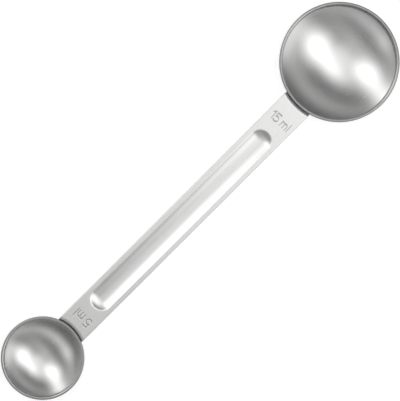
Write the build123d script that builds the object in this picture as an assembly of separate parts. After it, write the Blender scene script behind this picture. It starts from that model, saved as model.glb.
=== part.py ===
from build123d import *
import os
from math import asin, atan2, cos, degrees, sin

# Double-ended measuring spoon of sheet steel: a 15 ml bowl and a 5 ml bowl on one strip handle.
# Millimetres. +X runs from the small bowl to the large one, +Z is up and both rims are level.
# The origin is under the middle of the spoon's length, level with the lowest point of the bowls.

# Bowls
bowl_spacing = 161.3
large_mouth_radius = 22.2
large_depth = 13.5
large_collar = 5.1
small_mouth_radius = 15.1
small_depth = 9.9
small_collar = 3.3
corner_radius = 1.2
bowl_sheet = 1.0
rim_round = 0.3

# Handle strip
handle_width = 12.6
handle_sheet = 1.0
handle_drop = 0.3
handle_edge_round = 0.2

# Handle ends, bent down against the bowls
bend_radius = 0.4
joint_gap = 0.05
flange_drop = 4.6
flange_corner_radius = 2.0

# Stiffening bead pressed into the handle, its ends measured from the bowls' outer walls
bead_margin = 1.9
bead_depth = 1.1
bead_edge_round = 1.2
bead_gap_small = 11.8
bead_gap_large = 15.6

# Spot welds, two at each end of the handle
weld_drop = 2.8
weld_spread = 3.1
weld_radius = 0.8
weld_bite = 0.45
electrode_radius = 0.9
electrode_dent = 0.15

# Stamped capacity marks, their middles measured from the bowls' outer walls
mark_gap_small = 5.6
mark_gap_large = 8.9
mark_height = 3.4
mark_small_height = 2.3
mark_stroke = 0.44
mark_depth = 0.12
letter_gap = 0.85
word_gap = 1.65
one_width = 0.85
five_width = 1.8
arch_width = 1.3

# Shares of the mark's height, for the figures' own shapes
one_flag_share = 0.24
five_neck_share = 0.56

# How far every cutting tool runs past what it cuts
overrun = 1.0

rim_z = max(large_depth, small_depth) + bowl_sheet
handle_top_z = rim_z - handle_drop
handle_bottom_z = handle_top_z - handle_sheet
outer_bend_radius = bend_radius + handle_sheet
bead_width = handle_width - 2 * bead_margin


class Bowl:
    """One bowl's sizes, with solids in its own frame: origin at the rim's centre, +X towards the handle."""

    def __init__(self, mouth_radius, depth, collar):
        self.mouth_radius = mouth_radius
        self.depth = depth
        self.collar = collar
        self.outer_radius = mouth_radius + bowl_sheet
        self.handle_radius = self.outer_radius + joint_gap
        # The corner's small arc is tangent to the straight collar above it and to the dished floor's wide arc
        sag = depth - collar
        self.corner_centre = mouth_radius - corner_radius
        self.floor_curve = (self.corner_centre**2 + sag**2 - corner_radius**2) / (2 * (sag - corner_radius))
        self.floor_starts = degrees(atan2(sag - self.floor_curve, self.corner_centre))

    def cup(self, growth):
        """The space inside the bowl, grown outwards: a straight collar, a tight corner and a dished floor."""
        radius = self.mouth_radius + growth
        depth = self.depth + growth
        floor_centre = (0, self.floor_curve - self.depth)
        corner_centre = (self.corner_centre, -self.collar)
        outline = make_face([
            Polyline((0, -depth), (0, 0), (radius, 0), (radius, -self.collar)),
            CenterArc(corner_centre, corner_radius + growth, 0, self.floor_starts),
            CenterArc(floor_centre, self.floor_curve + growth, self.floor_starts, -90 - self.floor_starts),
        ])
        return revolve(Plane.XZ * outline, Axis.Z)

    def weld_planes(self):
        """Planes through the middle of each spot weld, on the bowl's outer wall and facing out of it."""
        corner = corner_radius + bowl_sheet
        lean = asin(max(weld_drop - self.collar, 0) / corner)
        reach = self.corner_centre + corner * cos(lean)
        planes = []
        for side in (-1, 1):
            turn = side * asin(weld_spread / reach)
            place = (reach * cos(turn), reach * sin(turn), -weld_drop)
            outwards = (cos(lean) * cos(turn), cos(lean) * sin(turn), -sin(lean))
            planes.append(Plane(origin=place, z_dir=outwards))
        return planes


small = Bowl(small_mouth_radius, small_depth, small_collar)
large = Bowl(large_mouth_radius, large_depth, large_collar)
small_x = (small.outer_radius - large.outer_radius - bowl_spacing) / 2
large_x = small_x + bowl_spacing
small_place = Pos(small_x, 0, rim_z)
large_place = Pos(large_x, 0, rim_z) * Rot(0, 0, 180)


def weld_nuggets(bowl):
    """The fused steel of each spot weld: a short round slug, half in the wall and half in the flange."""
    return [plane * Cylinder(weld_radius, 2 * weld_bite) for plane in bowl.weld_planes()]


def electrode_marks(bowl, surface):
    """Tools for the round dents that the welding electrodes leave, at a distance from the joint's face."""
    depth = abs(surface) - electrode_dent
    tools = []
    for plane in bowl.weld_planes():
        if surface < 0:
            plane = Plane(origin=plane.origin, z_dir=-plane.z_dir)
        tool = Cylinder(electrode_radius, overrun, align=(Align.CENTER, Align.CENTER, Align.MIN))
        tools.append(plane * Pos(0, 0, depth) * tool)
    return tools


def make_bowl(bowl):
    """A drawn bowl of even sheet with a rounded cut rim, marked and pocketed at its welds."""
    shell = bowl.cup(bowl_sheet) - bowl.cup(0)
    rim_edges = shell.edges().filter_by(GeomType.CIRCLE).group_by(Axis.Z)[-1]
    shell = fillet(rim_edges, rim_round)
    return shell - electrode_marks(bowl, -bowl_sheet) - weld_nuggets(bowl)


def handle_end(bowl):
    """The handle's end: bent down beside the rim and formed round the bowl, a hairline off its wall."""
    bend_x = bowl.handle_radius + outer_bend_radius
    bend_z = -handle_drop - outer_bend_radius
    quarter = make_face([
        CenterArc((bend_x, bend_z), outer_bend_radius, 90, 90),
        Line((bowl.handle_radius, bend_z), (bowl.handle_radius + handle_sheet, bend_z)),
        CenterArc((bend_x, bend_z), bend_radius, 180, -90),
        Line((bend_x, bend_z + bend_radius), (bend_x, -handle_drop)),
    ])
    bend = revolve(Plane.XZ * quarter, Axis.Z)
    inner_growth = bowl_sheet + joint_gap
    flange = bowl.cup(inner_growth + handle_sheet) - bowl.cup(inner_growth)
    flange = split(flange, Plane.XY.offset(bend_z), keep=Keep.BOTTOM)
    tongue_height = flange_drop - handle_drop
    tongue = Plane.YZ * Pos(0, -flange_drop + tongue_height / 2) * Rectangle(handle_width, tongue_height)
    tongue = fillet(tongue.vertices().group_by(Axis.Z)[0], flange_corner_radius)
    return (bend + flange) & extrude(tongue, bend_x)


def capsule(radius, start_x, end_x, centre_z):
    """A round bar along X with ball ends."""
    length = end_x - start_x
    bar = Pos((start_x + end_x) / 2, 0, centre_z) * Rot(0, 90, 0) * Cylinder(radius, length)
    return bar + [Pos(x, 0, centre_z) * Sphere(radius) for x in (start_x, end_x)]


def make_strip():
    """The flat middle of the handle with its pressed bead and eased edges, up to the start of each bend."""
    blank = Box(bowl_spacing, handle_width, handle_sheet)
    blank = fillet(blank.edges().filter_by(Axis.X), handle_edge_round)
    strip = Pos((small_x + large_x) / 2, 0, (handle_top_z + handle_bottom_z) / 2) * blank
    for bowl, x in ((small, small_x), (large, large_x)):
        strip -= Pos(x, 0, handle_top_z) * Cylinder(bowl.handle_radius + outer_bend_radius, 2 * rim_z)
    bead_radius = ((bead_width / 2) ** 2 + bead_depth**2) / (2 * bead_depth)
    bead_z = handle_top_z + bead_radius - bead_depth
    start_x = small_x + small.outer_radius + bead_gap_small + bead_width / 2
    end_x = large_x - large.outer_radius - bead_gap_large - bead_width / 2
    belly = capsule(bead_radius + handle_sheet, start_x, end_x, bead_z)
    belly = split(belly, Plane.XY.offset(handle_top_z), keep=Keep.BOTTOM)
    strip = strip + belly - capsule(bead_radius, start_x, end_x, bead_z)
    reach = bead_width / 2 + handle_edge_round
    bead_edges = strip.edges().group_by(Axis.Z)[-1]
    bead_edges = bead_edges.filter_by(lambda edge: start_x - reach < edge.center().X < end_x + reach)
    bead_edges = bead_edges.filter_by(lambda edge: abs(edge.center().Y) < reach)
    return fillet(bead_edges, bead_edge_round)


def line_stroke(start, end):
    """A straight stamped stroke with round ends."""
    run = Vector(*end) - Vector(*start)
    middle = (Vector(*start) + Vector(*end)) / 2
    slot = SlotCenterToCenter(run.length, mark_stroke)
    return Pos(middle.X, middle.Y) * Rot(0, 0, degrees(atan2(run.Y, run.X))) * slot


def figure_one(x):
    """A 1 with a short flag; gives its strokes and its width."""
    flag = one_flag_share * mark_height
    strokes = line_stroke((x + one_width, 0), (x + one_width, mark_height))
    strokes += line_stroke((x + one_width, mark_height), (x, mark_height - flag))
    return strokes, one_width


def figure_five(x):
    """A 5 of a top bar, a neck and a round bowl; gives its strokes and its width."""
    round_radius = five_neck_share * mark_height / 2 + mark_stroke / 4
    centre = (x + five_width - round_radius, round_radius)
    neck_y = five_neck_share * mark_height
    strokes = line_stroke((x, mark_height), (x + five_width, mark_height))
    strokes += line_stroke((x, mark_height), (x, neck_y))
    strokes += SlotArc(CenterArc(centre, round_radius, 140, -280), mark_stroke)
    return strokes, five_width


def letter_m(x):
    """A small m of three stems and two arches; gives its strokes and its width."""
    arch_radius = arch_width / 2
    spring_y = mark_small_height - arch_radius
    strokes = line_stroke((x, 0), (x, mark_small_height))
    for arch in (1, 2):
        stem_x = x + arch * arch_width
        strokes += SlotArc(CenterArc((stem_x - arch_radius, spring_y), arch_radius, 0, 180), mark_stroke)
        strokes += line_stroke((stem_x, 0), (stem_x, spring_y))
    return strokes, 2 * arch_width


def letter_l(x):
    """A tall plain stroke; gives its strokes and its width."""
    return line_stroke((x, 0), (x, mark_height)), 0


def capacity_mark(figures):
    """A row of stamped figures and the unit, centred on its own middle, readable with +Y up."""
    x = 0
    mark = Sketch()
    for draw in figures:
        strokes, width = draw(x)
        mark += strokes
        x += width + letter_gap
    x += word_gap - letter_gap
    for draw in (letter_m, letter_l):
        strokes, width = draw(x)
        mark += strokes
        x += width + letter_gap
    full_width = x - letter_gap
    return Pos(-full_width / 2, -mark_height / 2) * mark


def mark_tool(bowl, gap, figures):
    """The stamp for one end, in the bowl's frame: the figures' tops point at the bowl."""
    place = Pos(bowl.outer_radius + gap, 0, -handle_drop) * Rot(0, 0, 90)
    return extrude(place * capacity_mark(figures), -mark_depth)


def make_handle():
    """The strip with its bead and marks, joined to its two bent ends."""
    handle = make_strip()
    handle += [small_place * handle_end(small), large_place * handle_end(large)]
    handle -= small_place * mark_tool(small, mark_gap_small, (figure_five,))
    handle -= large_place * mark_tool(large, mark_gap_large, (figure_one, figure_five))
    for bowl, place in ((small, small_place), (large, large_place)):
        for tool in electrode_marks(bowl, joint_gap + handle_sheet) + weld_nuggets(bowl):
            handle -= place * tool
    return handle


def group(solids):
    """Separate solids kept together as one node."""
    return Compound(children=solids)


nodes = {
    "large_bowl": large_place * make_bowl(large),
    "small_bowl": small_place * make_bowl(small),
    "handle": make_handle(),
    "large_bowl_welds": group([large_place * nugget for nugget in weld_nuggets(large)]),
    "small_bowl_welds": group([small_place * nugget for nugget in weld_nuggets(small)]),
}

os.makedirs("parts", exist_ok=True)
for name, node in nodes.items():
    export_step(node, f"parts/{name}.step")
    print(name, "solids", len(node.solids()), "valid", node.is_valid, "volume", round(node.volume, 2))
for name, bowl in (("large", large), ("small", small)):
    print(name, "bowl holds", round(bowl.cup(0).volume / 1000, 3), "ml")
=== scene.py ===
import math

import bpy
import numpy as np
from mathutils import Matrix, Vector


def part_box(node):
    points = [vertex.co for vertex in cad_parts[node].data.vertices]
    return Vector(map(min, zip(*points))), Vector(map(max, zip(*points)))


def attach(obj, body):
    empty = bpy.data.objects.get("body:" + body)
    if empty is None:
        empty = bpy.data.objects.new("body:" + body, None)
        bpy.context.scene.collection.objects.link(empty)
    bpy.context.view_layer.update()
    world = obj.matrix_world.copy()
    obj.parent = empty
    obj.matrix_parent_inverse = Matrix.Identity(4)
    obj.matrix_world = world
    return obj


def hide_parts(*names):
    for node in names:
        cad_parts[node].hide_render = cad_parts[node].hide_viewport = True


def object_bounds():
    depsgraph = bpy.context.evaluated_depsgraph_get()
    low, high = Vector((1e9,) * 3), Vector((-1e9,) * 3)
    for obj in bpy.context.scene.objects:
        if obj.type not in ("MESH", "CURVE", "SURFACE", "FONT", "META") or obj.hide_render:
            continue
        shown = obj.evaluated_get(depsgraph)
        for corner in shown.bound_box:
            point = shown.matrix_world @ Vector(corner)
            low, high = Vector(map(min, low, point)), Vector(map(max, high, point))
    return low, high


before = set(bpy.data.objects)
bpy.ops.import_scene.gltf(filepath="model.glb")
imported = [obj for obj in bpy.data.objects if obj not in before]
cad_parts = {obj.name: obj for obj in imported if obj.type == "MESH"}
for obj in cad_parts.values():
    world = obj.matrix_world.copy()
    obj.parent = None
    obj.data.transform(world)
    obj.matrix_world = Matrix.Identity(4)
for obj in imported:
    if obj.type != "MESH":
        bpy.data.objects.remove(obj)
cad_low, cad_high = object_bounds()

# Sheet sizes that the frame's boxes don't give, in metres
SHEET = 0.001
LARGE_COLLAR = 0.0051
SMALL_COLLAR = 0.0033
CORNER_RADIUS = 0.0012
RIM_INNER_ROUND = 0.00028
RIM_OUTER_ROUND = 0.0005
RIM_CUT_START = 0.00022
HANDLE_DROP = 0.0003
BEND_RADIUS = 0.0004
OUTER_BEND = BEND_RADIUS + SHEET
JOINT_GAP = 0.00005
FLANGE_DROP = 0.0046
FLANGE_CORNER = 0.002
EDGE_ROUND = 0.00024

# The bead pressed into the handle
BEAD_MARGIN = 0.0019
BEAD_DEPTH = 0.0011
BEAD_EDGE_ROUND = 0.0017
BEAD_BACK_ROUND = 0.0007
BEAD_GAP_SMALL = 0.0118
BEAD_GAP_LARGE = 0.0156

# The spot welds and the dents that the electrodes leave, with a dent's soft edge as shares of its radius
WELD_DROP = 0.0028
WELD_SPREAD = 0.0031
ELECTRODE_RADIUS = 0.0009
ELECTRODE_DENT = 0.00015
DENT_EDGE_START = 0.72
DENT_EDGE_WIDTH = 0.34

# The stamped capacity marks, with a stroke's soft edge as shares of its width and the five's bowl in degrees
MARK_GAP_SMALL = 0.0056
MARK_GAP_LARGE = 0.0089
MARK_HEIGHT = 0.0034
MARK_SMALL_HEIGHT = 0.0023
MARK_STROKE = 0.00046
MARK_DEPTH = 0.00006
LETTER_GAP = 0.00085
WORD_GAP = 0.00165
ONE_WIDTH = 0.00085
FIVE_WIDTH = 0.0018
ARCH_WIDTH = 0.0013
ONE_FLAG_SHARE = 0.24
FIVE_NECK_SHARE = 0.56
FIVE_ARC_START = 140
FIVE_ARC_SWEEP = -280
ARC_POINTS = 25
STROKE_EDGE_END = 0.62
STROKE_EDGE_WIDTH = 0.34
FAR_FROM_MARKS = 1.0

# Mesh spacing and the number of steps round small forms
FINE = 0.0001
MEDIUM = 0.00025
COARSE = 0.0006
BY_WELDS = MEDIUM * 0.7
ROUND_BOWL = 0.8 * COARSE
BEAD_END_SPACING = MEDIUM * 0.8
BEAD_SPACING = 3 * COARSE
EDGE_REACH = 1.5 * EDGE_ROUND
ROUND_STEPS = 6
CORNER_STEPS = 12
FLANGE_STEPS = 20
BEND_STEPS = 14
CURVE_TO_LINE_STEPS = 5


def steps(start, end, spacing):
    """Evenly spaced values from start to end, about that far apart."""
    count = max(2, int(round(abs(end - start) / spacing)) + 1)
    return np.linspace(start, end, count)


def joined(*runs):
    """Several rising runs as one, without repeated values."""
    values = np.concatenate(runs)
    keep = np.concatenate([[True], np.diff(values) > 1e-7])
    return values[keep]


def eased(distance, radius):
    """How far a rounded edge drops below the sheet's face, at a distance inside its outline."""
    inside = np.clip(radius - distance, 0, radius)
    return radius - np.sqrt(np.maximum(radius**2 - inside**2, 0))


def smooth(value):
    """Smoothstep from 0 to 1."""
    value = np.clip(value, 0, 1)
    return value * value * (3 - 2 * value)


class BowlShape:
    """One bowl's sizes, read from its CAD node. Radii are from its axis and drops from its rim."""

    def __init__(self, node, handle_side, collar):
        low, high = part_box(node)
        self.node = node
        self.handle_side = handle_side
        self.axis_x = (low.x + high.x) / 2
        self.rim_z = high.z
        self.outer_radius = (high.y - low.y) / 2
        self.mouth_radius = self.outer_radius - SHEET
        self.depth = high.z - low.z - SHEET
        self.collar = collar
        self.corner_centre = self.mouth_radius - CORNER_RADIUS
        sag = self.depth - collar
        span_squared = self.corner_centre**2 + sag**2 - CORNER_RADIUS**2
        self.floor_curve = span_squared / (2 * (sag - CORNER_RADIUS))
        self.floor_starts = math.atan2(self.floor_curve - sag, self.corner_centre)
        self.bend_start = self.outer_radius + JOINT_GAP + OUTER_BEND
        self.straight_end = OUTER_BEND * math.pi / 2 + collar - HANDLE_DROP - OUTER_BEND

    def side(self, growth, spacing):
        """Points (radius, drop) on the bowl's inner surface grown outwards, from the axis to the rim."""
        floor_angles = steps(math.pi / 2, self.floor_starts, spacing / self.floor_curve)
        corner_angles = np.linspace(self.floor_starts, 0, CORNER_STEPS)[1:]
        curve = self.floor_curve + growth
        curve_middle = self.depth - self.floor_curve
        points = [(curve * math.cos(a), curve_middle + curve * math.sin(a)) for a in floor_angles]
        curve = CORNER_RADIUS + growth
        points += [
            (self.corner_centre + curve * math.cos(a), self.collar + curve * math.sin(a))
            for a in corner_angles
        ]
        collar_drops = steps(self.collar, RIM_INNER_ROUND, spacing)[1:]
        points += [(self.mouth_radius + growth, drop) for drop in collar_drops]
        points[0] = (0.0, points[0][1])
        return points

    def welds(self):
        """The middle of each spot weld and the way out of the wall there, in the row frame."""
        corner = CORNER_RADIUS + SHEET
        lean = math.asin(max(WELD_DROP - self.collar, 0) / corner)
        reach = self.corner_centre + corner * math.cos(lean)
        found = []
        for sign in (-1, 1):
            turn = sign * math.asin(WELD_SPREAD / reach)
            out = (math.cos(lean) * math.cos(turn), math.cos(lean) * math.sin(turn), -math.sin(lean))
            place = (reach * math.cos(turn), reach * math.sin(turn), -WELD_DROP)
            found.append((self.to_row(np.array([place]))[0], np.array(out) * (self.handle_side, 1, 1)))
        return found

    def to_row(self, points):
        """Points from the bowl's own frame, +X towards the handle and the rim at zero, to the row frame."""
        return points * (self.handle_side, 1, 1) + (self.axis_x, 0, self.rim_z)

    def end_profile(self, run):
        """The handle's top face at a run past the start of the bend: radius, drop and its normal."""
        bend_length = OUTER_BEND * math.pi / 2
        corner = CORNER_RADIUS + SHEET + JOINT_GAP
        bend = np.clip(run / OUTER_BEND, 0, math.pi / 2)
        down = np.clip(run, bend_length, self.straight_end) - bend_length
        turn = np.maximum(run - self.straight_end, 0) / corner
        radius = self.bend_start - OUTER_BEND * np.sin(bend) - corner * (1 - np.cos(turn))
        drop = HANDLE_DROP + OUTER_BEND * (1 - np.cos(bend)) + down + corner * np.sin(turn)
        normal_out = np.where(turn > 0, -np.cos(turn), -np.sin(bend))
        normal_up = np.where(turn > 0, np.sin(turn), np.cos(bend))
        return radius, drop, normal_out, normal_up

    def flange_length(self, y):
        """How far the top face runs past the start of the bend, across the handle's rounded tip."""
        half = HANDLE_WIDTH / 2
        past = np.clip(np.abs(y) - (half - FLANGE_CORNER), 0, FLANGE_CORNER)
        tip_drop = FLANGE_DROP - (FLANGE_CORNER - np.sqrt(FLANGE_CORNER**2 - past**2))
        corner = CORNER_RADIUS + SHEET + JOINT_GAP
        past_collar = tip_drop - self.collar
        round_corner = corner * np.arcsin(np.maximum(past_collar, 0) / corner)
        return self.straight_end + np.minimum(past_collar, 0) + round_corner


def handle_width():
    """The strip's width, from its CAD node."""
    low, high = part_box("handle")
    return high.y - low.y


HANDLE_WIDTH = handle_width()
BEAD_HALF = HANDLE_WIDTH / 2 - BEAD_MARGIN
BEAD_RADIUS = (BEAD_HALF**2 + BEAD_DEPTH**2) / (2 * BEAD_DEPTH)
small = BowlShape("small_bowl", 1, SMALL_COLLAR)
large = BowlShape("large_bowl", -1, LARGE_COLLAR)
RIM_Z = large.rim_z


def mesh_object(name, points, faces):
    """A smooth-shaded mesh object in the scene, its normals turned outwards."""
    mesh = bpy.data.meshes.new(name)
    mesh.from_pydata(points.tolist(), [], faces)
    mesh.validate()
    mesh.polygons.foreach_set("use_smooth", [True] * len(mesh.polygons))
    piece = bpy.data.objects.new(name, mesh)
    bpy.context.scene.collection.objects.link(piece)
    return piece


def note(piece, name, values):
    """A value kept at each of a piece's points, for its material."""
    kept = piece.data.attributes.new(name, "FLOAT", "POINT")
    kept.data.foreach_set("value", np.asarray(values, dtype=float).ravel())


def pressed(points, welds, depth_sign, cover):
    """Points of a face pushed in where the electrodes pressed it, along each weld's own axis."""
    moved = points.copy()
    for middle, out in welds:
        away = points - middle
        along = away @ out
        off_axis = np.linalg.norm(away - along[..., None] * out, axis=-1)
        dish = 1 - smooth((off_axis / ELECTRODE_RADIUS - DENT_EDGE_START) / DENT_EDGE_WIDTH)
        near = np.abs(along - cover) < SHEET
        moved += (depth_sign * ELECTRODE_DENT * dish * near)[..., None] * out
    return moved


def make_bowl(bowl):
    """A bowl of even sheet: its inner face, rounded cut rim and outer face, as rings about its axis."""
    inner = bowl.side(0, MEDIUM)
    outer = bowl.side(SHEET, MEDIUM)[::-1]
    outer = [(radius, drop) for radius, drop in outer if drop > RIM_OUTER_ROUND]
    turns = np.linspace(0, math.pi / 2, ROUND_STEPS + 1)[1:]
    inner_round = [
        (bowl.mouth_radius + RIM_INNER_ROUND * (1 - math.cos(t)), RIM_INNER_ROUND * (1 - math.sin(t)))
        for t in turns
    ]
    outer_round = [
        (bowl.outer_radius - RIM_OUTER_ROUND * (1 - math.cos(t)), RIM_OUTER_ROUND * (1 - math.sin(t)))
        for t in [*turns[::-1], 0]
    ]
    outline = np.array(inner[1:] + inner_round + outer_round + outer[:-1])
    inner_rows = len(inner) - 1
    weld_turn = math.asin(2 * WELD_SPREAD / bowl.mouth_radius)
    fine = steps(-weld_turn, weld_turn, BY_WELDS / bowl.outer_radius)
    rest = steps(weld_turn, 2 * math.pi - weld_turn, ROUND_BOWL / bowl.outer_radius)[1:-1]
    turn = np.concatenate([fine, rest])
    local = np.stack([
        outline[:, :1] * np.cos(turn),
        outline[:, :1] * np.sin(turn),
        np.repeat(-outline[:, 1:], len(turn), axis=1),
    ], axis=-1)
    points = bowl.to_row(local)
    points[:inner_rows] = pressed(points[:inner_rows], bowl.welds(), 1, -SHEET)
    rows, columns = points.shape[:2]
    flat = points.reshape(-1, 3)
    poles = bowl.to_row(np.array([(0, 0, -inner[0][1]), (0, 0, -outer[-1][1])]))
    flat = np.concatenate([flat, poles])
    index = np.arange(rows * columns).reshape(rows, columns)
    wrapped = np.concatenate([index, index[:, :1]], axis=1)
    quads = np.stack([wrapped[:-1, :-1], wrapped[:-1, 1:], wrapped[1:, 1:], wrapped[1:, :-1]], axis=-1)
    faces = quads.reshape(-1, 4).tolist()
    first_pole, last_pole = rows * columns, rows * columns + 1
    for a, b in zip(wrapped[0, :-1].tolist(), wrapped[0, 1:].tolist()):
        faces.append([first_pole, b, a])
    for a, b in zip(wrapped[-1, :-1].tolist(), wrapped[-1, 1:].tolist()):
        faces.append([last_pole, a, b])
    if bowl.handle_side > 0:
        faces = [face[::-1] for face in faces]
    # The cut rim's mask: the material makes it rougher and paints shade on it, a darker colour for the dark
    # outline it reflects
    past_mouth = outline[:, 0] > bowl.mouth_radius + RIM_CUT_START
    near_rim = outline[:, 1] < RIM_OUTER_ROUND + RIM_CUT_START
    cut = past_mouth & near_rim
    piece = mesh_object(bowl.node + "_steel", flat, faces)
    note(piece, "cut_edge_and_shade", np.concatenate([np.repeat(cut, columns), (0, 0)]))
    return piece


def bead_span():
    """The X of the bead's two end centres."""
    start = small.axis_x + small.outer_radius + BEAD_GAP_SMALL + BEAD_HALF
    end = large.axis_x - large.outer_radius - BEAD_GAP_LARGE - BEAD_HALF
    return start, end


def bead_drop(x, y, back):
    """How far the bead lies under the strip's face, on the front or on the back."""
    start, end = bead_span()
    off = np.hypot(x - np.clip(x, start, end), y)
    ball_height = BEAD_RADIUS - BEAD_DEPTH
    if back:
        ball, edge, lift = BEAD_RADIUS + SHEET, BEAD_BACK_ROUND, ball_height + SHEET
    else:
        ball, edge, lift = BEAD_RADIUS, BEAD_EDGE_ROUND, ball_height
    centre_off = math.sqrt((ball + edge) ** 2 - (lift + edge) ** 2)
    meets = centre_off * ball / (ball + edge)
    trough = np.sqrt(np.maximum(ball**2 - off**2, 0)) - lift
    lip = edge - np.sqrt(np.maximum(edge**2 - (centre_off - off) ** 2, 0))
    return np.where(off < meets, trough, np.where(off < centre_off, lip, 0))


def arc_points(centre, radius, start, sweep):
    """A round stroke as short straight pieces."""
    angles = np.radians(np.linspace(start, start + sweep, ARC_POINTS))
    return [(centre[0] + radius * math.cos(a), centre[1] + radius * math.sin(a)) for a in angles]


def mark_strokes(figures):
    """The strokes of a capacity mark, centred on its middle and readable with +Y up."""
    strokes = []
    x = 0
    neck_y = FIVE_NECK_SHARE * MARK_HEIGHT
    five_round = neck_y / 2 + MARK_STROKE / 4
    for figure in figures:
        if figure == "1":
            top = (x + ONE_WIDTH, MARK_HEIGHT)
            strokes.append([(x + ONE_WIDTH, 0), top])
            strokes.append([top, (x, (1 - ONE_FLAG_SHARE) * MARK_HEIGHT)])
            x += ONE_WIDTH
        else:
            strokes.append([(x, MARK_HEIGHT), (x + FIVE_WIDTH, MARK_HEIGHT)])
            strokes.append([(x, MARK_HEIGHT), (x, neck_y)])
            five_middle = (x + FIVE_WIDTH - five_round, five_round)
            strokes.append(arc_points(five_middle, five_round, FIVE_ARC_START, FIVE_ARC_SWEEP))
            x += FIVE_WIDTH
        x += LETTER_GAP
    x += WORD_GAP - LETTER_GAP
    arch = ARCH_WIDTH / 2
    spring_y = MARK_SMALL_HEIGHT - arch
    strokes.append([(x, 0), (x, MARK_SMALL_HEIGHT)])
    for count in (1, 2):
        stem_x = x + count * ARCH_WIDTH
        strokes.append(arc_points((stem_x - arch, spring_y), arch, 0, 180))
        strokes.append([(stem_x, 0), (stem_x, spring_y)])
    x += 2 * ARCH_WIDTH + LETTER_GAP
    strokes.append([(x, 0), (x, MARK_HEIGHT)])
    middle = (x / 2, MARK_HEIGHT / 2)
    return [[(px - middle[0], py - middle[1]) for px, py in stroke] for stroke in strokes]


def mark_drop(x, y):
    """How far the stamped marks lie under the handle's face."""
    drop = np.zeros(np.broadcast(x, y).shape)
    for bowl, gap, figures in ((small, MARK_GAP_SMALL, "5"), (large, MARK_GAP_LARGE, "15")):
        middle_x = bowl.axis_x + bowl.handle_side * (bowl.outer_radius + gap)
        up = -bowl.handle_side * (x - middle_x)
        across = bowl.handle_side * y
        near = np.abs(up) < MARK_HEIGHT
        u, v = across[near], up[near]
        closest = np.full(u.shape, FAR_FROM_MARKS)
        for stroke in mark_strokes(figures):
            for (ax, ay), (bx, by) in zip(stroke[:-1], stroke[1:]):
                run = np.array([bx - ax, by - ay])
                share = np.clip(((u - ax) * run[0] + (v - ay) * run[1]) / (run @ run), 0, 1)
                closest = np.minimum(closest, np.hypot(u - ax - share * run[0], v - ay - share * run[1]))
        inside = STROKE_EDGE_END * MARK_STROKE - closest
        drop[near] += MARK_DEPTH * smooth(inside / (STROKE_EDGE_WIDTH * MARK_STROKE))
    return drop


def across_handle():
    """The handle's columns: close together where the marks are, closest at the rounded edges."""
    half = HANDLE_WIDTH / 2
    edge = EDGE_ROUND * (1 - np.cos(np.linspace(0, math.pi / 2, ROUND_STEPS)))
    middle = steps(-half + EDGE_REACH, half - EDGE_REACH, FINE)
    return np.concatenate([-half + edge, middle, (half - edge)[::-1]])


def end_rows(bowl, y):
    """Top and bottom points of one bent end, from the flange's tip up to the start of the bend."""
    length = bowl.flange_length(y)[None, :]
    bend_length = OUTER_BEND * math.pi / 2
    tip = EDGE_ROUND * (1 - np.cos(np.linspace(0, math.pi / 2, ROUND_STEPS)))
    body = steps(1, 0, 1 / FLANGE_STEPS)[:-1]
    bend = steps(1, 0, 1 / BEND_STEPS)[:-1]
    runs = [length - e for e in tip]
    runs += [bend_length + (length - EDGE_REACH - bend_length) * share for share in body]
    runs += [bend_length * share + 0 * length for share in bend]
    run = np.concatenate(runs)
    radius, drop, out, up = bowl.end_profile(run)
    side = HANDLE_WIDTH / 2 - np.abs(y)[None, :]
    ease = eased(np.minimum(side, length - run), EDGE_ROUND)
    faces = []
    for depth in (ease, SHEET - ease):
        r = radius - out * depth
        x = np.sqrt(r**2 - y[None, :] ** 2)
        faces.append(bowl.to_row(np.stack([x, y[None, :] + 0 * x, -(drop + up * depth)], axis=-1)))
    top, bottom = faces
    bottom = pressed(bottom, bowl.welds(), -1, SHEET + JOINT_GAP)
    return top, bottom


def strip_rows(y):
    """Top and bottom points of the handle between its bends."""
    start_curve = small.axis_x + np.sqrt(small.bend_start**2 - y**2)
    end_curve = large.axis_x - np.sqrt(large.bend_start**2 - y**2)
    start_line = small.axis_x + small.bend_start + MEDIUM
    end_line = large.axis_x - large.bend_start - MEDIUM
    bead_start, bead_end = bead_span()
    marks = []
    for bowl, gap in ((small, MARK_GAP_SMALL), (large, MARK_GAP_LARGE)):
        middle = bowl.axis_x + bowl.handle_side * (bowl.outer_radius + gap)
        half = MARK_HEIGHT / 2 + MARK_STROKE
        marks.append((middle - half, middle + half))
    first_bead = bead_start - BEAD_HALF - BEAD_EDGE_ROUND
    last_bead = bead_end + BEAD_HALF + BEAD_EDGE_ROUND
    lines = joined(
        steps(start_line, marks[0][0], MEDIUM),
        steps(marks[0][0], marks[0][1], FINE),
        steps(marks[0][1], first_bead, COARSE),
        steps(first_bead, bead_start, BEAD_END_SPACING),
        steps(bead_start, bead_end, BEAD_SPACING),
        steps(bead_end, last_bead, BEAD_END_SPACING),
        steps(last_bead, marks[1][0], COARSE),
        steps(marks[1][0], marks[1][1], FINE),
        steps(marks[1][1], end_line, MEDIUM),
    )
    shares = np.linspace(0, 1, CURVE_TO_LINE_STEPS)[:-1]
    rows = [start_curve + (start_line - start_curve) * share for share in shares]
    rows += [np.full_like(y, x) for x in lines]
    rows += [end_line + (end_curve - end_line) * share for share in shares[1:]] + [end_curve]
    x = np.stack(rows)
    wide = y[None, :] + 0 * x
    ease = eased(HANDLE_WIDTH / 2 - np.abs(wide), EDGE_ROUND)
    face_z = RIM_Z - HANDLE_DROP
    top = face_z - ease - bead_drop(x, wide, False) - mark_drop(x, wide)
    bottom = face_z - SHEET + ease - bead_drop(x, wide, True)
    return np.stack([x, wide, top], axis=-1), np.stack([x, wide, bottom], axis=-1)


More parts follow.
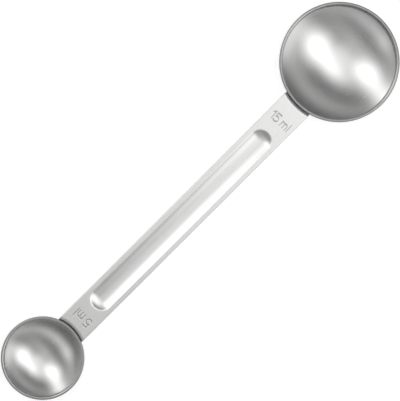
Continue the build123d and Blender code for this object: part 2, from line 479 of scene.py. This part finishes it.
def make_handle():
    """The handle as one closed sheet: flange, bend, strip, bend and flange, with eased edges all round."""
    y = across_handle()
    small_top, small_bottom = end_rows(small, y)
    strip_top, strip_bottom = strip_rows(y)
    large_top, large_bottom = end_rows(large, y)
    top = np.concatenate([small_top, strip_top, large_top[::-1]])
    bottom = np.concatenate([small_bottom, strip_bottom, large_bottom[::-1]])
    rows, columns = top.shape[:2]
    count = rows * columns
    index = np.arange(count).reshape(rows, columns)
    corners = [index[:-1, :-1], index[1:, :-1], index[1:, 1:], index[:-1, 1:]]
    quads = np.stack(corners, axis=-1).reshape(-1, 4)
    faces = quads.tolist() + (quads[:, ::-1] + count).tolist()
    rim = np.concatenate([index[:-1, 0], index[-1, :-1], index[:0:-1, -1], index[0, :0:-1]])
    for a, b in zip(rim.tolist(), np.roll(rim, -1).tolist()):
        faces.append([b, a, a + count, b + count])
    points = np.concatenate([top.reshape(-1, 3), bottom.reshape(-1, 3)])
    # The handle's cut long edges: rougher in the material, with painted shade darkening their colour for the
    # dark outline they reflect
    cut = HANDLE_WIDTH / 2 - np.abs(points[:, 1]) < EDGE_ROUND / 2
    stamped = mark_drop(top[..., 0], top[..., 1]) / MARK_DEPTH
    stamped[: len(small_top)] = 0
    stamped[-len(large_top):] = 0
    piece = mesh_object("handle_steel", points, faces)
    note(piece, "cut_edge_and_shade", cut)
    note(piece, "stamped", np.concatenate([stamped.ravel(), np.zeros(count)]))
    return piece


# Materials: sheared edges are duller than the satin faces and carry painted shade, a darker colour for the
# dark outline they reflect, and stamped marks are darker
STEEL = (0.66, 0.66, 0.655)
WELD_TONE = (0.5, 0.49, 0.47)
BOWL_ROUGHNESS = (0.22, 0.29)
HANDLE_ROUGHNESS = (0.24, 0.33)
WELD_ROUGHNESS = (0.35, 0.5)
# Painted shade on the cut edges: a darker colour standing in for the dark surroundings that their rounded
# rims reflect
EDGE_PAINTED_SHADE_TONE = (0.34, 0.34, 0.34)
CUT_ROUGHER = 0.22
STAMPED_TONE = (0.36, 0.36, 0.355)

# The satin: its grain's fineness and relief in metres, its cloudy wear, and how the two mix
GRAIN_SCALE = 2600.0
WELD_GRAIN_SCALE = 1500.0
BOWL_GRAIN_DEPTH = 0.0000012
HANDLE_GRAIN_DEPTH = 0.0000022
WELD_GRAIN_DEPTH = 0.000003
ALONG_GRAIN = 0.02
ROUND_GRAIN = 0.0012
CLOUD_SCALE = 95.0
GRAIN_SHARE = 0.6
CLOUD_SHARE = 0.4
DARKER = 0.94
LIGHTER = 1.05
MIX_LOW = 0.25
MIX_HIGH = 0.75


class Nodes:
    """Shorthand for building one material's node tree."""

    def __init__(self, tree):
        self.tree = tree
        tree.nodes.clear()

    def add(self, kind, **settings):
        node = self.tree.nodes.new(kind)
        for name, value in settings.items():
            if name in node.inputs:
                node.inputs[name].default_value = value
            else:
                setattr(node, name, value)
        return node

    def link(self, source, target):
        self.tree.links.new(source, target)


def steel_material(name, base, rough, grain_vector, grain_scale, grain_depth):
    """Satin steel: a fine directional grain in its roughness and relief, over faint cloudy wear."""
    material = bpy.data.materials.new(name)
    material.use_nodes = True
    nodes = Nodes(material.node_tree)
    output = nodes.add("ShaderNodeOutputMaterial")
    shader = nodes.add("ShaderNodeBsdfPrincipled")
    shader.inputs["Metallic"].default_value = 1.0
    nodes.link(shader.outputs["BSDF"], output.inputs["Surface"])
    place = nodes.add("ShaderNodeTexCoord")
    vector = grain_vector(nodes, place.outputs["Object"])

    grain = nodes.add("ShaderNodeTexNoise", Scale=grain_scale, Detail=3.0, Roughness=0.65)
    nodes.link(vector, grain.inputs["Vector"])
    cloud = nodes.add("ShaderNodeTexNoise", Scale=CLOUD_SCALE, Detail=4.0, Roughness=0.55)
    nodes.link(place.outputs["Object"], cloud.inputs["Vector"])

    tone = nodes.add("ShaderNodeMix", data_type="RGBA")
    tone.inputs["A"].default_value = (*[DARKER * c for c in base], 1)
    tone.inputs["B"].default_value = (*[LIGHTER * c for c in base], 1)
    mixed = nodes.add("ShaderNodeMath", operation="MULTIPLY_ADD")
    nodes.link(grain.outputs["Fac"], mixed.inputs[0])
    mixed.inputs[1].default_value = GRAIN_SHARE
    cloud_share = nodes.add("ShaderNodeMath", operation="MULTIPLY")
    nodes.link(cloud.outputs["Fac"], cloud_share.inputs[0])
    cloud_share.inputs[1].default_value = CLOUD_SHARE
    nodes.link(cloud_share.outputs[0], mixed.inputs[2])
    nodes.link(mixed.outputs[0], tone.inputs["Factor"])
    colour = tone.outputs["Result"]
    # The cut edges get painted shade, a darker colour for the dark outline they reflect; the stamped marks
    # get their darker tone
    for noted, shade_and_mark_tone in (("cut_edge_and_shade", EDGE_PAINTED_SHADE_TONE), ("stamped", STAMPED_TONE)):
        kept = nodes.add("ShaderNodeAttribute", attribute_name=noted)
        shade_and_mark_mix = nodes.add("ShaderNodeMix", data_type="RGBA")
        nodes.link(kept.outputs["Fac"], shade_and_mark_mix.inputs["Factor"])
        nodes.link(colour, shade_and_mark_mix.inputs["A"])
        shade_and_mark_mix.inputs["B"].default_value = (*shade_and_mark_tone, 1)
        colour = shade_and_mark_mix.outputs["Result"]
    nodes.link(colour, shader.inputs["Base Color"])

    rough_range = nodes.add("ShaderNodeMapRange")
    rough_range.inputs["From Min"].default_value = MIX_LOW
    rough_range.inputs["From Max"].default_value = MIX_HIGH
    rough_range.inputs["To Min"].default_value = rough[0]
    rough_range.inputs["To Max"].default_value = rough[1]
    nodes.link(mixed.outputs[0], rough_range.inputs["Value"])
    cut = nodes.add("ShaderNodeAttribute", attribute_name="cut_edge_and_shade")
    rougher = nodes.add("ShaderNodeMath", operation="MULTIPLY_ADD")
    nodes.link(cut.outputs["Fac"], rougher.inputs[0])
    rougher.inputs[1].default_value = CUT_ROUGHER
    nodes.link(rough_range.outputs[0], rougher.inputs[2])
    nodes.link(rougher.outputs[0], shader.inputs["Roughness"])

    relief = nodes.add("ShaderNodeBump", Strength=1.0, Distance=grain_depth)
    nodes.link(grain.outputs["Fac"], relief.inputs["Height"])
    nodes.link(relief.outputs["Normal"], shader.inputs["Normal"])
    return material


def along_handle(nodes, place):
    """Grain coordinates stretched along X."""
    mapping = nodes.add("ShaderNodeMapping")
    mapping.inputs["Scale"].default_value = (ALONG_GRAIN, 1.0, 1.0)
    nodes.link(place, mapping.inputs["Vector"])
    return mapping.outputs["Vector"]


def round_bowl(axis_x):
    """Grain coordinates in rings about a bowl's axis."""

    def rings(nodes, place):
        shift = nodes.add("ShaderNodeVectorMath", operation="SUBTRACT")
        shift.inputs[1].default_value = (axis_x, 0, 0)
        nodes.link(place, shift.inputs[0])
        parts = nodes.add("ShaderNodeSeparateXYZ")
        nodes.link(shift.outputs[0], parts.inputs[0])
        flat = nodes.add("ShaderNodeCombineXYZ")
        nodes.link(parts.outputs["X"], flat.inputs["X"])
        nodes.link(parts.outputs["Y"], flat.inputs["Y"])
        radius = nodes.add("ShaderNodeVectorMath", operation="LENGTH")
        nodes.link(flat.outputs[0], radius.inputs[0])
        turn = nodes.add("ShaderNodeVectorMath", operation="NORMALIZE")
        nodes.link(flat.outputs[0], turn.inputs[0])
        slow = nodes.add("ShaderNodeVectorMath", operation="SCALE", Scale=ROUND_GRAIN)
        nodes.link(turn.outputs[0], slow.inputs[0])
        slow_parts = nodes.add("ShaderNodeSeparateXYZ")
        nodes.link(slow.outputs[0], slow_parts.inputs[0])
        total = nodes.add("ShaderNodeMath", operation="ADD")
        nodes.link(radius.outputs["Value"], total.inputs[0])
        height = nodes.add("ShaderNodeMath", operation="SUBTRACT")
        nodes.link(slow_parts.outputs["X"], height.inputs[0])
        nodes.link(parts.outputs["Z"], height.inputs[1])
        nodes.link(height.outputs[0], total.inputs[1])
        vector = nodes.add("ShaderNodeCombineXYZ")
        nodes.link(total.outputs[0], vector.inputs["X"])
        nodes.link(slow_parts.outputs["Y"], vector.inputs["Y"])
        return vector.outputs[0]

    return rings


def seen_directly(nodes, amount):
    """That amount for camera, mirror and see-through rays, and nothing for the rest."""
    rays = nodes.add("ShaderNodeLightPath")
    total = rays.outputs["Is Camera Ray"]
    for kind in ("Is Glossy Ray", "Is Transmission Ray"):
        larger = nodes.add("ShaderNodeMath", operation="MAXIMUM")
        nodes.link(total, larger.inputs[0])
        nodes.link(rays.outputs[kind], larger.inputs[1])
        total = larger.outputs[0]
    scaled = nodes.add("ShaderNodeMath", operation="MULTIPLY")
    nodes.link(total, scaled.inputs[0])
    scaled.inputs[1].default_value = amount
    return scaled.outputs[0]


def paint(piece, material):
    """One material over a whole piece."""
    piece.data.materials.clear()
    piece.data.materials.append(material)


bowl_large_steel = steel_material(
    "large_bowl_satin", STEEL, BOWL_ROUGHNESS, round_bowl(large.axis_x), GRAIN_SCALE, BOWL_GRAIN_DEPTH
)
bowl_small_steel = steel_material(
    "small_bowl_satin", STEEL, BOWL_ROUGHNESS, round_bowl(small.axis_x), GRAIN_SCALE, BOWL_GRAIN_DEPTH
)
handle_satin = steel_material(
    "handle_satin", STEEL, HANDLE_ROUGHNESS, along_handle, GRAIN_SCALE, HANDLE_GRAIN_DEPTH
)
weld_steel = steel_material(
    "weld_steel", WELD_TONE, WELD_ROUGHNESS, along_handle, WELD_GRAIN_SCALE, WELD_GRAIN_DEPTH
)

large_piece = make_bowl(large)
small_piece = make_bowl(small)
handle_piece = make_handle()
for piece, node, slot, material in (
    (large_piece, "large_bowl", "bowl_steel", bowl_large_steel),
    (small_piece, "small_bowl", "bowl_steel", bowl_small_steel),
    (handle_piece, "handle", "handle_steel", handle_satin),
):
    paint(piece, material)
    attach(piece, "root")
    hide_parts(node)
for node in ("large_bowl_welds", "small_bowl_welds"):
    paint(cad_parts[node], weld_steel)

# Camera: straight down on the spoon, its handle rising to the right at this slope in the picture
HANDLE_SLOPE = math.radians(44.93)
VIEW_MIDDLE = (0.0015, 0.00016)
VIEW_WIDTH = 0.1538
VIEW_DISTANCE = 1.03
SENSOR_WIDTH = 36.0
camera_data = bpy.data.cameras.new("camera")
camera_data.sensor_fit = "HORIZONTAL"
camera_data.sensor_width = SENSOR_WIDTH
camera_data.lens = SENSOR_WIDTH * VIEW_DISTANCE / VIEW_WIDTH
camera_data.clip_start = 0.05
camera_data.clip_end = 10.0
camera = bpy.data.objects.new("camera", camera_data)
bpy.context.scene.collection.objects.link(camera)
camera_place = Matrix.Translation((*VIEW_MIDDLE, RIM_Z + VIEW_DISTANCE))
camera.matrix_world = camera_place @ Matrix.Rotation(-HANDLE_SLOPE, 4, "Z")
bpy.context.scene.camera = camera

# White floor: it keeps the shadow, camera and mirror rays see it lifted towards white,
# and a camera under it looks through it at the spoon's underside
FLOOR_SIZE = 2.4
FLOOR_WHITE = 0.86
FLOOR_LIFT = 0.45
bpy.ops.mesh.primitive_plane_add(size=FLOOR_SIZE, location=(0, 0, cad_low.z))
floor = bpy.context.object
floor.name = "floor"
floor_material = bpy.data.materials.new("white_paper")
floor_material.use_nodes = True
floor_nodes = Nodes(floor_material.node_tree)
floor_out = floor_nodes.add("ShaderNodeOutputMaterial")
paper = floor_nodes.add("ShaderNodeBsdfDiffuse")
paper.inputs["Color"].default_value = (FLOOR_WHITE, FLOOR_WHITE, FLOOR_WHITE, 1)
glow = floor_nodes.add("ShaderNodeEmission")
floor_nodes.link(seen_directly(floor_nodes, FLOOR_LIFT), glow.inputs["Strength"])
both = floor_nodes.add("ShaderNodeAddShader")
floor_nodes.link(paper.outputs[0], both.inputs[0])
floor_nodes.link(glow.outputs[0], both.inputs[1])
face = floor_nodes.add("ShaderNodeNewGeometry")
rays = floor_nodes.add("ShaderNodeLightPath")
under = floor_nodes.add("ShaderNodeMath", operation="MULTIPLY")
floor_nodes.link(face.outputs["Backfacing"], under.inputs[0])
floor_nodes.link(rays.outputs["Is Camera Ray"], under.inputs[1])
clear = floor_nodes.add("ShaderNodeBsdfTransparent")
looked_at = floor_nodes.add("ShaderNodeMixShader")
floor_nodes.link(under.outputs[0], looked_at.inputs["Fac"])
floor_nodes.link(both.outputs[0], looked_at.inputs[1])
floor_nodes.link(clear.outputs[0], looked_at.inputs[2])
floor_nodes.link(looked_at.outputs[0], floor_out.inputs["Surface"])
paint(floor, floor_material)

# Light tent: a cloth dome round the spoon, lit from outside by soft lamps over an even level of light.
# Each lamp's row: its direction round from +X and its lean from straight up, both in degrees, how bright
# it makes the cloth, and how wide its soft patch is round the dome and up the dome.
# The lamps' rows were fitted so that the bowls and the bead reflect them as they do in the photo.
TENT_RADIUS = 0.55
TENT_LEVEL = 0.10
TENT_TOP_LEAN = 0.5
TENT_FOOT = 90.1
TENT_LEAN_STEP = 1.5
TENT_TURN_STEP = 3.0
LAMPS = (
    (298, 37, 1.70, 0.20, 0.19),
    (100, 34, 1.67, 0.14, 0.23),
    (86, 75, 1.56, 0.13, 0.66),
    (357, 21, 1.92, 0.30, 0.12),
    (286, 84, 0.87, 0.18, 0.83),
    (310, 80, 0.85, 0.19, 0.15),
    (153, 58, 0.39, 0.12, 0.12),
    (171, 22, 0.55, 0.67, 0.12),
    (177, 56, 0.83, 0.78, 0.12),
    (2, 60, 0.49, 0.90, 0.12),
)


def tent_brightness(facing):
    """The cloth's brightness in some directions from the tent's middle."""
    brightness = np.full(facing.shape[:-1], TENT_LEVEL)
    for lamp_turn, lamp_lean, strength, wide, tall in LAMPS:
        a, b = math.radians(lamp_turn), math.radians(lamp_lean)
        middle = np.array([math.sin(b) * math.cos(a), math.sin(b) * math.sin(a), math.cos(b)])
        sideways = np.array([-math.sin(a), math.cos(a), 0])
        upwards = np.cross(middle, sideways)
        spread = (facing @ sideways / wide) ** 2 + (facing @ upwards / tall) ** 2
        brightness += strength * np.exp(-spread / 2) * (facing @ middle > 0)
    return brightness


def make_tent():
    """The dome's mesh, seen by light but not by the camera, glowing as its cloth does."""
    leans = np.radians(np.arange(TENT_TOP_LEAN, TENT_FOOT, TENT_LEAN_STEP))
    turns = np.radians(np.arange(0, 360, TENT_TURN_STEP))
    lean, turn = np.meshgrid(leans, turns, indexing="ij")
    facing = np.stack([np.sin(lean) * np.cos(turn), np.sin(lean) * np.sin(turn), np.cos(lean)], axis=-1)
    points = TENT_RADIUS * facing + (0, 0, RIM_Z)
    index = np.arange(lean.size).reshape(lean.shape)
    index = np.concatenate([index, index[:, :1]], axis=1)
    quads = np.stack([index[:-1, :-1], index[1:, :-1], index[1:, 1:], index[:-1, 1:]], axis=-1)
    top = [index[0, :-1].tolist()]
    tent = mesh_object("light_tent", points.reshape(-1, 3), quads.reshape(-1, 4).tolist() + top)
    note(tent, "cloth_glow", tent_brightness(facing))
    cloth = bpy.data.materials.new("tent_cloth")
    cloth.use_nodes = True
    nodes = Nodes(cloth.node_tree)
    out = nodes.add("ShaderNodeOutputMaterial")
    level = nodes.add("ShaderNodeAttribute", attribute_name="cloth_glow")
    emission = nodes.add("ShaderNodeEmission")
    nodes.link(level.outputs["Fac"], emission.inputs["Strength"])
    nodes.link(emission.outputs[0], out.inputs["Surface"])
    paint(tent, cloth)
    tent.visible_camera = False
    tent.visible_shadow = False
    return tent


make_tent()

# World: plain white behind everything for the camera, mirror and see-through rays, and a plain level of
# light otherwise
OUTSIDE_LEVEL = 0.6
world = bpy.data.worlds.new("studio")
bpy.context.scene.world = world
world.use_nodes = True
sky = Nodes(world.node_tree)
sky_out = sky.add("ShaderNodeOutputWorld")
sky_light = sky.add("ShaderNodeBackground")
level = sky.add("ShaderNodeMath", operation="ADD")
sky.link(seen_directly(sky, 1 - OUTSIDE_LEVEL), level.inputs[0])
level.inputs[1].default_value = OUTSIDE_LEVEL
sky.link(level.outputs[0], sky_light.inputs["Strength"])
sky.link(sky_light.outputs[0], sky_out.inputs["Surface"])

bpy.context.scene.view_settings.view_transform = "Standard"
